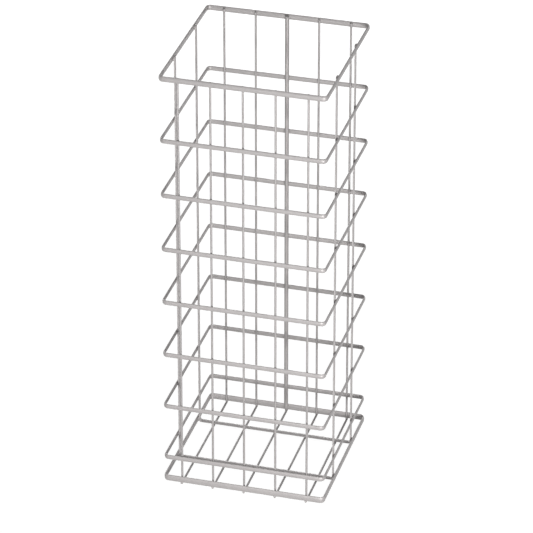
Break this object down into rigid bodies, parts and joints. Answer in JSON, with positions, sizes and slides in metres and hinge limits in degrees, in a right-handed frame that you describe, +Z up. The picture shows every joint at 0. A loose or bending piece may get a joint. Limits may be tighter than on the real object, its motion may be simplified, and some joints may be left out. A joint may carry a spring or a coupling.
{
  "type": "umbrella stand",
  "caption": "Tall square open basket of lacquered steel wire that stands on the floor and holds closed umbrellas upright.",
  "frame": {"origin": "middle of the footprint, on the ground", "axes": "+Z up along the height, front faces -Y, +X to the right seen from the front"},
  "size_m": [0.22, 0.22, 0.6],
  "materials": {
    "ring_lacquer": "satin silver-grey metallic lacquer on oval steel wire rings",
    "upright_lacquer": "satin silver-grey metallic lacquer on thin steel wire",
    "floor_lacquer": "satin silver-grey metallic lacquer on steel wire, rubbed underneath"
  },
  "bodies": {
    "root": {"top_rim_ring": "ring_lacquer", "hoop_1": "ring_lacquer", "hoop_2": "ring_lacquer", "hoop_3": "ring_lacquer", "hoop_4": "ring_lacquer", "hoop_5": "ring_lacquer", "hoop_6": "ring_lacquer", "hoop_7": "ring_lacquer", "base_ring": "ring_lacquer", "front_upright_1": "upright_lacquer", "front_upright_2": "upright_lacquer", "front_upright_3": "upright_lacquer", "front_upright_4": "upright_lacquer", "front_upright_5": "upright_lacquer", "back_upright_1": "upright_lacquer", "back_upright_2": "upright_lacquer", "back_centre_post": "upright_lacquer", "back_upright_4": "upright_lacquer", "back_upright_5": "upright_lacquer", "side_wire_front": "upright_lacquer", "side_wire_back": "upright_lacquer", "floor_wire_1": "floor_lacquer", "floor_wire_2": "floor_lacquer", "floor_wire_3": "floor_lacquer", "floor_wire_4": "floor_lacquer", "floor_wire_5": "floor_lacquer"}
  },
  "joints": []
}
